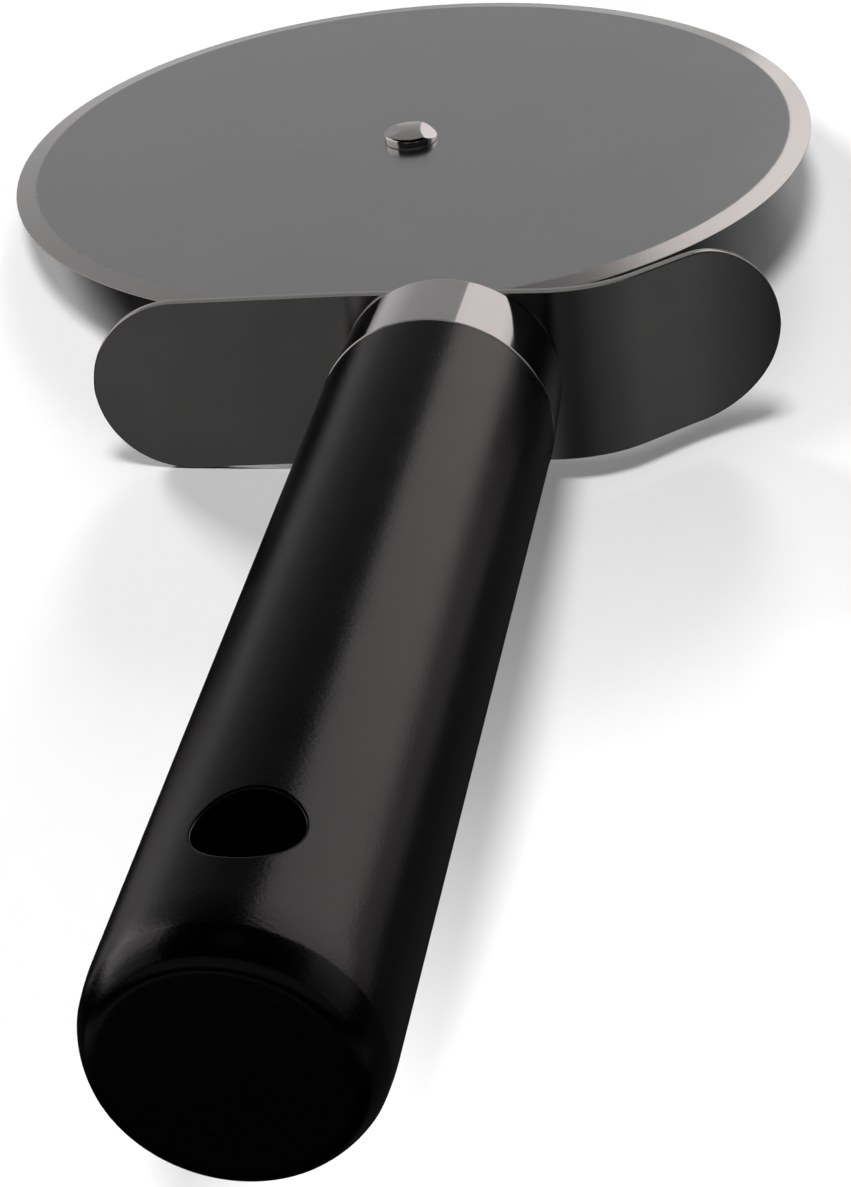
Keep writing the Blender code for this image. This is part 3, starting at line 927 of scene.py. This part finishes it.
def disc_steel(settings):
    """Satin on the flats, and a slope ground round the edge, with a ragged line between them."""
    material, tree, shader, place = new_material("disc_steel")
    parts = add_node(tree, "ShaderNodeSeparateXYZ", {"Vector": place})
    x, y = parts.outputs["X"], parts.outputs["Y"]
    flat_place = add_node(tree, "ShaderNodeCombineXYZ", {"X": x, "Y": y}).outputs["Vector"]
    distance = add_node(tree, "ShaderNodeVectorMath", {0: flat_place}, operation="LENGTH")
    from_axle = distance.outputs["Value"]
    ragged = noise(tree, place, grain=0.0006, detail=4.0, roughness=0.7)
    wander = wandering(tree, ragged, -LINE_WANDER, LINE_WANDER)
    shifted = math_node(tree, "ADD", from_axle, wander)
    border = settings.diameter / 2 - settings.edge_width
    inside, outside = (border + part for part in LINE_SOFTNESS)
    ground = ranged(tree, shifted, inside, outside, 0.0, 1.0, smooth=True)

    clouds = noise(tree, place, grain=0.016, detail=2.0)
    fine = noise(tree, place, grain=0.00022, detail=2.0)
    satin = settings.flat_colour
    flat_tone = two_toned(tree, clouds, satin, dark=0.95, light=1.04)
    flat_tone = mixed(tree, wandering(tree, fine, 0.0, 0.3), flat_tone, shaded(satin, 0.8))
    turn = math_node(tree, "ARCTAN2", y, x)
    mark_place = {
        "X": math_node(tree, "MULTIPLY", turn, MARKS_ROUND),
        "Y": math_node(tree, "MULTIPLY", from_axle, MARKS_ACROSS),
    }
    marks = add_node(tree, "ShaderNodeCombineXYZ", mark_place).outputs["Vector"]
    streaks = noise(tree, marks, grain=1.0, roughness=0.5)
    edge_tone = two_toned(tree, streaks, settings.edge_colour, dark=0.88, light=1.06)
    tone = mixed(tree, ground, flat_tone, edge_tone)
    roughness = settings.flat_roughness
    flat_rough = wandering(tree, clouds, roughness * 0.92, roughness * 1.1)
    rough_gap = math_node(tree, "SUBTRACT", settings.edge_roughness, flat_rough)
    rough = math_node(tree, "ADD", flat_rough, math_node(tree, "MULTIPLY", ground, rough_gap))
    set_inputs(tree, shader, {"Base Color": tone, "Roughness": rough, "Metallic": 1.0})
    streak_height = math_node(tree, "MULTIPLY", streaks, ground)
    bumped(
        tree,
        shader,
        [(clouds, 0.00002, 0.2), (fine, 0.000004, 0.5), (streak_height, 0.000004, 0.5)],
    )
    return material


def black_plastic(settings):
    """Satin black moulding with a soft skin texture and faintly uneven gloss."""
    material, tree, shader, place = new_material("black_plastic")
    clouds = noise(tree, place, grain=0.006)
    skin = noise(tree, place, grain=0.00035, roughness=0.6)
    wave = noise(tree, place, grain=0.011, detail=1.0)
    tone = two_toned(tree, clouds, settings.plastic_colour, dark=0.8, light=1.25)
    rough = wandering(tree, clouds, settings.roughness * 0.92, settings.roughness * 1.12)
    speckled = math_node(tree, "ADD", rough, wandering(tree, skin, -0.03, 0.03))
    set_inputs(tree, shader, {"Base Color": tone, "Roughness": speckled, "IOR": 1.52})
    bumped(tree, shader, [(wave, 0.00006, 0.2), (skin, 0.00003, 0.6)])
    return material


def floor_paper(colour_value):
    """Pale matt paper with faint fibres."""
    material, tree, shader, place = new_material("floor_paper")
    fibres = noise(tree, place, grain=0.004)
    tone = two_toned(tree, fibres, colour_value, dark=0.99, light=1.01)
    rough = wandering(tree, fibres, 0.9, 1.0)
    set_inputs(tree, shader, {"Base Color": tone, "Roughness": rough, "Specular IOR Level": 0.0})
    bumped(tree, shader, [(fibres, 0.00002, 0.1)])
    return material


# Stage

# The pieces that a light may be limited to, and the tints of the lights
GUARD_STEEL = ("guard", "arm", "washer")
BROAD_STEEL = ("disc", "ferrule_cup") + GUARD_STEEL
STEEL = ("rivet",) + BROAD_STEEL
PLASTIC = ("grip_moulding",)
ALL = STEEL + PLASTIC
NEUTRAL = (1.0, 1.0, 1.0)
PINKISH = (1.0, 0.925, 0.91)

# Cards that show only in what faces them; a light that is mirrored straight away counts as
# one or two bounces
FIRST_LOOK_ONLY = ("back_card",)
DEEPEST_LOOK = 2.5

# Name, azimuths, elevations, brightness and tint of each soft box, and the pieces that see it
SOFT_BOXES = (
    ("right_panel", (5.0, 60.0), (7.0, 44.0), 0.77, PINKISH, ALL),
    ("panel_side", (2.4, 5.0), (7.0, 44.0), 0.77, PINKISH, STEEL),
    ("low_right_panel", (31.0, 60.0), (-10.0, 7.0), 0.22, PINKISH, ALL),
    ("upper_panel", (5.0, 50.0), (44.0, 54.0), 0.77, PINKISH, PLASTIC),
    ("left_panel", (-84.0, -52.0), (0.0, 42.0), 0.70, PINKISH, ALL),
    ("left_panel_side", (-125.0, -84.0), (0.0, 42.0), 0.70, PINKISH, STEEL),
    ("low_left_panel", (-65.0, -40.0), (-20.0, 0.0), 0.24, PINKISH, ALL),
    ("grey_card", (-50.0, 2.6), (-2.5, 44.5), 0.20, NEUTRAL, STEEL),
    ("low_card", (-60.0, 60.0), (-45.0, -4.0), 0.22, NEUTRAL, GUARD_STEEL),
    ("under_card", (135.0, 225.0), (-80.0, -54.0), 0.20, NEUTRAL, GUARD_STEEL),
    ("back_card", (115.0, 245.0), (3.0, 50.0), 0.27, NEUTRAL, BROAD_STEEL),
    ("dim_back_card", (122.0, 238.0), (3.0, 50.0), 0.08, NEUTRAL, PLASTIC),
    ("dim_right_card", (62.0, 118.0), (4.0, 40.0), 0.12, NEUTRAL, PLASTIC),
    ("dim_left_card", (-118.0, -84.0), (0.0, 40.0), 0.16, NEUTRAL, PLASTIC),
)

# Squares along each side of the floor
FLOOR_SQUARES = 8

# Distance of the soft boxes, and the level card over the tool
BOX_DISTANCE = 0.8
CEILING_HEIGHT = 0.8
CEILING_WIDTH = 1.2
CEILING_LEVEL = 0.27

# Name, azimuth, elevation and strength of each light that falls on the floor
SOFT_LIGHTS = (
    ("left_light", -51.0, 30.0, 3.32),
    ("top_light", 180.0, 75.0, 2.01),
    ("back_light", 0.0, 30.0, 1.55),
)

# The small lamp beside the handle's end: how far to the right of it, beyond it and up
END_LAMP_ASIDE = 0.07
END_LAMP_BEYOND = 0.046
END_LAMP_HEIGHT = 0.05
END_LAMP_POWER = 0.78
END_LAMP_RADIUS = 0.03


def middle_of_mass():
    """The middle of mass of the CAD nodes, from their closed meshes and their densities."""
    total = 0.0
    moment = Vector((0.0, 0.0, 0.0))
    for name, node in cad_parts.items():
        density = PLASTIC_DENSITY if name == "handle" else STEEL_DENSITY
        mesh = node.data
        mesh.calc_loop_triangles()
        for triangle in mesh.loop_triangles:
            a, b, c = (mesh.vertices[i].co for i in triangle.vertices)
            mass = density * a.dot(b.cross(c)) / 6
            total += mass
            moment += mass * (a + b + c) / 4
    return moment / total


def resting_plane():
    """Where the tool lies: the flattest face of its hull that its weight falls on."""
    bm = bmesh.new()
    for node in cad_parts.values():
        for vertex in node.data.vertices:
            bm.verts.new(vertex.co)
    made = bmesh.ops.convex_hull(bm, input=bm.verts)
    middle = middle_of_mass()
    hull = [item for item in made["geom"] if isinstance(item, bmesh.types.BMFace)]
    bmesh.ops.recalc_face_normals(bm, faces=hull)
    best = None
    for face in hull:
        normal = face.normal
        corners = [vertex.co for vertex in face.verts]
        foot = middle + normal * normal.dot(corners[0] - middle)
        inside = all(
            (after - before).cross(foot - before).dot(normal) >= 0.0
            for before, after in zip(corners, corners[1:] + corners[:1])
        )
        if inside and (best is None or normal.z < best[1].z):
            best = (corners[0].copy(), normal.copy())
    bm.free()
    if best is None or best[1].z > -LEAST_DOWNWARD:
        raise RuntimeError("no resting face was found under the tool")
    return best[0], -best[1]


def facing(direction):
    """A turn that points an object's own -Z along a direction."""
    return direction.to_track_quat("-Z", "Y").to_matrix().to_4x4()


def heading(azimuth, elevation):
    """A unit direction; azimuth 0 is away from the camera's side and grows to the right."""
    a = math.radians(azimuth)
    e = math.radians(elevation)
    return Vector((math.sin(a) * math.cos(e), math.cos(a) * math.cos(e), math.sin(e)))


def new_light(name, light, place, off):
    """A light at its place, with the named kinds of visibility switched off."""
    obj = new_object(name, light, place)
    for kind in off:
        setattr(obj, kind, False)
    return obj


def soft_box(name, azimuths, elevations, strength, tint):
    """An upright card, seen only in reflections; the elevations are those of its middle."""
    low_azimuth, high_azimuth = azimuths
    low, high = (BOX_DISTANCE * math.tan(math.radians(turn)) for turn in elevations)
    way = heading((low_azimuth + high_azimuth) / 2, 0.0)
    light = bpy.data.lights.new(name, "AREA")
    light.shape = "RECTANGLE"
    light.size = 2 * BOX_DISTANCE * math.tan(math.radians(high_azimuth - low_azimuth) / 2)
    light.size_y = high - low
    light.energy = strength * math.pi * light.size * light.size_y
    light.color = tint
    aim = Vector((GRIP_X, FERRULE_LOW.y, FERRULE_HIGH.z + (low + high) / 2))
    place = Matrix.Translation(aim + way * BOX_DISTANCE) @ facing(-way)
    return new_light(name, light, place, ("visible_diffuse", "visible_camera"))


def ceiling_card(name, strength):
    """A level card over the tool, seen only in reflections."""
    light = bpy.data.lights.new(name, "AREA")
    light.shape = "SQUARE"
    light.size = CEILING_WIDTH
    light.energy = strength * math.pi * CEILING_WIDTH**2
    place = Matrix.Translation((0.0, 0.0, CEILING_HEIGHT))
    return new_light(name, light, place, ("visible_diffuse", "visible_camera"))


def dim_second_look(light):
    """Hides a light from reflections of reflections, so that it shows only in what faces it."""
    light.use_nodes = True
    tree = light.node_tree
    bounces = add_node(tree, "ShaderNodeLightPath").outputs["Ray Depth"]
    shown = math_node(tree, "LESS_THAN", bounces, DEEPEST_LOOK)
    set_inputs(tree, tree.nodes["Emission"], {"Strength": shown})


def soft_light(name, azimuth, elevation, strength, softness):
    """A wide light from far off that falls on the floor and doesn't show in the steel."""
    light = bpy.data.lights.new(name, "SUN")
    light.energy = strength
    light.angle = softness
    way = heading(azimuth, elevation)
    return new_light(name, light, Matrix.Translation(way) @ facing(-way), ("visible_glossy",))


def end_lamp(strength):
    """A small lamp beside the handle's end that lifts the shadow there."""
    light = bpy.data.lights.new("end_lamp", "POINT")
    light.energy = END_LAMP_POWER * strength
    light.shadow_soft_size = END_LAMP_RADIUS
    beyond = HANDLE_LOW.y - END_LAMP_BEYOND
    place = Matrix.Translation((GRIP_X + END_LAMP_ASIDE, beyond, END_LAMP_HEIGHT))
    return new_light("end_lamp", light, place, ("visible_glossy", "visible_camera"))


def light_group(name, pieces):
    """A group of the pieces that some lights are limited to."""
    group = bpy.data.collections.new(name)
    for piece in pieces:
        group.objects.link(bpy.data.objects[piece])
    return group


def make_floor(settings):
    """A pale floor in the plane that the tool rests on."""
    spot, normal = resting_plane()
    bm = bmesh.new()
    half = settings.floor_size / 2
    bmesh.ops.create_grid(bm, x_segments=FLOOR_SQUARES, y_segments=FLOOR_SQUARES, size=half)
    turn = normal.to_track_quat("Z", "Y").to_matrix().to_4x4()
    below = spot - normal * CONTACT
    floor = new_piece("floor", bm, Matrix.Translation(below) @ turn)
    floor.data.materials.append(floor_paper(settings.floor_colour))
    floor.visible_glossy = False
    floor.visible_diffuse = False


def light_floor(settings):
    """The lights that fall on the floor alone and give the tool its shadow."""
    lights = []
    for name, azimuth, elevation, strength in SOFT_LIGHTS:
        strength *= settings.light_strength
        lights.append(soft_light(name, azimuth, elevation, strength, settings.softness))
    lights.append(end_lamp(settings.light_strength))
    on_floor = light_group("on_floor", ("floor",))
    for light in lights:
        light.light_linking.receiver_collection = on_floor


def light_pieces(settings):
    """The soft boxes and cards that the pieces mirror."""
    for name, azimuths, elevations, strength, tint, pieces in SOFT_BOXES:
        light = soft_box(name, azimuths, elevations, strength * settings.panel_strength, tint)
        light.light_linking.receiver_collection = light_group(name + "_pieces", pieces)
        if name in FIRST_LOOK_ONLY:
            dim_second_look(light.data)
    ceiling = ceiling_card("ceiling_card", CEILING_LEVEL * settings.panel_strength)
    ceiling.light_linking.receiver_collection = light_group("ceiling_pieces", BROAD_STEEL)


def level_ramp(tree, height, stops):
    """Grey levels by elevation; each stop is an elevation in degrees and its level."""
    ramp = add_node(tree, "ShaderNodeValToRGB", {"Fac": height})
    elements = ramp.color_ramp.elements
    while len(elements) < len(stops):
        elements.new(0.5)
    for element, (elevation, level) in zip(elements, stops):
        element.position = (math.sin(math.radians(elevation)) + 1) / 2
        element.color = (level, level, level, 1.0)
    return ramp.outputs["Color"]


# Elevation and level of the room, ahead to the left, ahead to the right, and behind
LEFT_LEVELS = (
    (-90.0, 0.01), (-30.0, 0.01), (-15.0, 0.0), (-4.0, 0.0), (2.0, 0.35), (8.0, 0.28),
    (14.0, 0.16), (23.0, 0.12), (30.0, 0.07), (38.0, 0.04), (48.0, 0.01), (55.0, 0.0),
    (80.0, 0.0), (86.0, 0.12),
)
RIGHT_LEVELS = (
    (-90.0, 0.02), (-30.0, 0.03), (-12.0, 0.03), (-6.0, 0.0), (8.0, 0.01), (12.0, 0.15),
    (34.0, 0.15), (46.0, 0.02), (55.0, 0.0), (80.0, 0.0), (86.0, 0.12),
)
BACK_LEVELS = (
    (-90.0, 0.0), (-36.0, 0.01), (-30.0, 0.07), (-25.0, 0.135), (-20.0, 0.07), (-15.0, 0.0),
    (-3.0, 0.0), (5.0, 0.02), (19.0, 0.02), (25.0, 0.0), (80.0, 0.0), (86.0, 0.12),
)

# Behind: degrees to the right, and how much light the handle's own shadow leaves there
SHADE_LEVELS = (
    (-90.0, 1.0), (-9.0, 1.0), (-1.0, 0.45), (6.0, 0.22), (16.0, 0.22), (30.0, 0.5),
    (45.0, 0.65), (62.0, 0.93), (90.0, 1.0),
)

# Where the room behind turns into the room ahead, and the left of it into the right
AHEAD_BLEND = (-0.1, 0.25)
RIGHT_BLEND = (-0.05, 0.12)

# The room's full shade, and what the camera sees round the floor
BLACK = (0.0, 0.0, 0.0, 1.0)
WHITE = (1.0, 1.0, 1.0, 1.0)


def make_world():
    """White to the camera; to everything else a dim grey room, darkest behind the camera."""
    world = bpy.data.worlds.new("studio")
    bpy.context.scene.world = world
    world.use_nodes = True
    tree = world.node_tree
    tree.nodes.clear()
    way = add_node(tree, "ShaderNodeTexCoord").outputs["Generated"]
    parts = add_node(tree, "ShaderNodeSeparateXYZ", {"Vector": way})
    height = ranged(tree, parts.outputs["Z"], -1.0, 1.0, 0.0, 1.0)
    ahead = ranged(tree, parts.outputs["Y"], *AHEAD_BLEND, 0.0, 1.0, smooth=True)
    right = ranged(tree, parts.outputs["X"], *RIGHT_BLEND, 0.0, 1.0, smooth=True)
    front = mixed(
        tree, right, level_ramp(tree, height, LEFT_LEVELS), level_ramp(tree, height, RIGHT_LEVELS)
    )
    side = ranged(tree, parts.outputs["X"], -1.0, 1.0, 0.0, 1.0)
    shade = level_ramp(tree, side, SHADE_LEVELS)
    behind = mixed(tree, shade, BLACK, level_ramp(tree, height, BACK_LEVELS))
    level = mixed(tree, ahead, behind, front)
    room = add_node(tree, "ShaderNodeBackground", {"Color": level})
    white = add_node(tree, "ShaderNodeBackground", {"Color": WHITE})
    seen = add_node(tree, "ShaderNodeLightPath").outputs["Is Camera Ray"]
    final = add_node(
        tree, "ShaderNodeMixShader", {0: seen, 1: room.outputs[0], 2: white.outputs[0]}
    )
    add_node(tree, "ShaderNodeOutputWorld", {"Surface": final.outputs[0]})


def make_camera():
    """Sees the cutter from beyond its handle's end, at the photograph's angle."""
    yaw, pitch, roll = (math.radians(turn) for turn in CAMERA_TURNS)
    ahead = Vector(
        (math.sin(yaw) * math.cos(pitch), math.cos(yaw) * math.cos(pitch), -math.sin(pitch))
    )
    level_right = Vector((math.cos(yaw), -math.sin(yaw), 0.0))
    level_up = level_right.cross(ahead)
    right = math.cos(roll) * level_right + math.sin(roll) * level_up
    up = math.cos(roll) * level_up - math.sin(roll) * level_right
    camera = bpy.data.cameras.new("photo_camera")
    camera.sensor_fit = "AUTO"
    camera.sensor_width = SENSOR
    camera.lens = SENSOR * FOCAL_PIXELS / IMAGE_HEIGHT
    camera.clip_start = 0.01
    camera.clip_end = 100.0
    camera.dof.use_dof = False
    turn = Matrix((right, up, -ahead)).transposed().to_4x4()
    place = Matrix.Translation(CAMERA_PLACE)
    bpy.context.scene.camera = new_object("photo_camera", camera, place @ turn)


# Operators


class CUTTER_OT_disc(bpy.types.Operator):
    """Make the cutting disc with its ground edge"""

    bl_idname = "cutter.make_disc"
    bl_label = "Make Disc"
    bl_options = {"REGISTER", "UNDO"}

    def execute(self, context):
        settings = context.scene.wheel_cutter.disc
        disc = new_piece("disc", disc_mesh(settings), Matrix.Translation(AXLE))
        finish_piece(disc, disc_steel(settings), "wheel", "cutting_wheel")
        return {"FINISHED"}


class CUTTER_OT_rivet(bpy.types.Operator):
    """Make the rivet that the disc spins on"""

    bl_idname = "cutter.make_rivet"
    bl_label = "Make Rivet"
    bl_options = {"REGISTER", "UNDO"}

    def execute(self, context):
        settings = context.scene.wheel_cutter.rivet
        rivet = new_piece("rivet", rivet_mesh(settings), Matrix.Translation(AXLE))
        finish = steel("rivet_steel", settings.metal_colour, settings.roughness)
        finish_piece(rivet, finish, "grip", "axle_rivet")
        return {"FINISHED"}


class CUTTER_OT_arm(bpy.types.Operator):
    """Make the carrier arm and the washer under the disc"""

    bl_idname = "cutter.make_arm"
    bl_label = "Make Arm and Washer"
    bl_options = {"REGISTER", "UNDO"}

    def execute(self, context):
        scene = context.scene
        settings = scene.wheel_cutter.arm
        guard_front = FERRULE_HIGH.y + SEAT_GAP + scene.wheel_cutter.guard.thickness
        outline = arm_outline(settings, guard_front + SEAT_GAP)
        hole_radius = scene.wheel_cutter.rivet.neck_diameter / 2 + CONTACT
        hole = arc((AXLE.x, AXLE.y), hole_radius, 0.0, 360.0, 6 * ARC_STEPS)[:-1]
        thickness = ARM_HIGH.z - ARM_LOW.z
        curve = outline_curve("arm", [outline, hole], thickness, settings.edge_rounding)
        place = Matrix.Translation((0.0, 0.0, STRIP_HEIGHT))
        arm = new_piece("arm", curve_mesh(curve), place)
        weighted = arm.modifiers.new("Weighted", "WEIGHTED_NORMAL")
        weighted.keep_sharp = True
        apply_modifiers(arm)
        finish = steel("arm_steel", settings.metal_colour, settings.roughness)
        finish_piece(arm, finish, "grip", "carrier_arm")
        washer = new_piece("washer", washer_mesh(settings), Matrix.Translation(AXLE))
        finish = steel("washer_steel", settings.washer_colour, settings.roughness)
        finish_piece(washer, finish, "grip", "spacer_washer")
        return {"FINISHED"}


class CUTTER_OT_guard(bpy.types.Operator):
    """Make the bent finger guard"""

    bl_idname = "cutter.make_guard"
    bl_label = "Make Finger Guard"
    bl_options = {"REGISTER", "UNDO"}

    def execute(self, context):
        settings = context.scene.wheel_cutter.guard
        middle_y = FERRULE_HIGH.y + SEAT_GAP + settings.thickness / 2
        guard = new_piece("guard", guard_mesh(settings, middle_y))
        solidify = guard.modifiers.new("Thickness", "SOLIDIFY")
        solidify.thickness = settings.thickness
        solidify.offset = 0.0
        solidify.use_even_offset = True
        bevel = guard.modifiers.new("Edges", "BEVEL")
        bevel.width = settings.edge_rounding
        bevel.segments = EDGE_SEGMENTS
        bevel.limit_method = "ANGLE"
        bevel.angle_limit = EDGE_ANGLE
        bevel.use_clamp_overlap = False
        apply_modifiers(guard)
        guard.data.shade_smooth()
        smooth_faces(guard.data, settings, middle_y)
        finish = steel("guard_steel", settings.metal_colour, settings.roughness)
        finish_piece(guard, finish, "grip", "finger_guard")
        return {"FINISHED"}


class CUTTER_OT_ferrule(bpy.types.Operator):
    """Make the drawn ferrule between the guard and the handle"""

    bl_idname = "cutter.make_ferrule"
    bl_label = "Make Ferrule"
    bl_options = {"REGISTER", "UNDO"}

    def execute(self, context):
        settings = context.scene.wheel_cutter.ferrule
        front = FERRULE_HIGH.y + SEAT_GAP - CONTACT
        mesh = ferrule_mesh(settings, front - FERRULE_LOW.y, 0.0)
        ferrule = new_piece("ferrule_cup", mesh, along_grip(FERRULE_LOW.y))
        finish = steel("ferrule_steel", settings.metal_colour, settings.roughness)
        finish_piece(ferrule, finish, "grip", "ferrule")
        return {"FINISHED"}


class CUTTER_OT_handle(bpy.types.Operator):
    """Make the black handle with its hanging hole"""

    bl_idname = "cutter.make_handle"
    bl_label = "Make Handle"
    bl_options = {"REGISTER", "UNDO"}

    def execute(self, context):
        settings = context.scene.wheel_cutter.handle
        front = FERRULE_LOW.y - CONTACT
        mesh = handle_mesh(settings, front - HANDLE_LOW.y)
        backward = Matrix.Diagonal((1.0, -1.0, 1.0, 1.0))
        bmesh.ops.transform(mesh, matrix=backward, verts=mesh.verts)
        bmesh.ops.recalc_face_normals(mesh, faces=mesh.faces)
        handle = new_piece("grip_moulding", mesh, Matrix.Translation((GRIP_X, front, GRIP_Z)))
        finish_piece(handle, black_plastic(settings), "grip", "handle")
        return {"FINISHED"}


class CUTTER_OT_stage(bpy.types.Operator):
    """Make the pale floor, the studio light and the camera"""

    bl_idname = "cutter.make_stage"
    bl_label = "Make Stage"
    bl_options = {"REGISTER", "UNDO"}

    def execute(self, context):
        settings = context.scene.wheel_cutter.stage
        make_floor(settings)
        light_floor(settings)
        light_pieces(settings)
        make_world()
        make_camera()
        context.scene.view_settings.view_transform = "Standard"
        return {"FINISHED"}


class CUTTER_PT_maker(bpy.types.Panel):
    """Lists the pieces of the wheel cutter and their sizes"""

    bl_idname = "CUTTER_PT_maker"
    bl_label = "Wheel Cutter"
    bl_space_type = "VIEW_3D"
    bl_region_type = "UI"
    bl_category = "Wheel Cutter"

    def draw(self, context):
        settings = context.scene.wheel_cutter
        for operator, group in PIECES:
            box = self.layout.box()
            box.operator(operator.bl_idname)
            values = getattr(settings, group)
            for name in values.__annotations__:
                box.prop(values, name)


PIECES = (
    (CUTTER_OT_disc, "disc"),
    (CUTTER_OT_rivet, "rivet"),
    (CUTTER_OT_arm, "arm"),
    (CUTTER_OT_guard, "guard"),
    (CUTTER_OT_ferrule, "ferrule"),
    (CUTTER_OT_handle, "handle"),
    (CUTTER_OT_stage, "stage"),
)

CLASSES = (
    DiscSettings,
    RivetSettings,
    ArmSettings,
    GuardSettings,
    FerruleSettings,
    HandleSettings,
    StageSettings,
    CutterSettings,
    *(operator for operator, group in PIECES),
    CUTTER_PT_maker,
)


def register():
    for each in CLASSES:
        bpy.utils.register_class(each)
    bpy.types.Scene.wheel_cutter = PointerProperty(type=CutterSettings)


def unregister():
    del bpy.types.Scene.wheel_cutter
    for each in reversed(CLASSES):
        bpy.utils.unregister_class(each)


def main():
    register()
    bpy.ops.cutter.make_disc()
    bpy.ops.cutter.make_rivet()
    bpy.ops.cutter.make_arm()
    bpy.ops.cutter.make_guard()
    bpy.ops.cutter.make_ferrule()
    bpy.ops.cutter.make_handle()
    bpy.ops.cutter.make_stage()


if __name__ == "__main__":
    main()
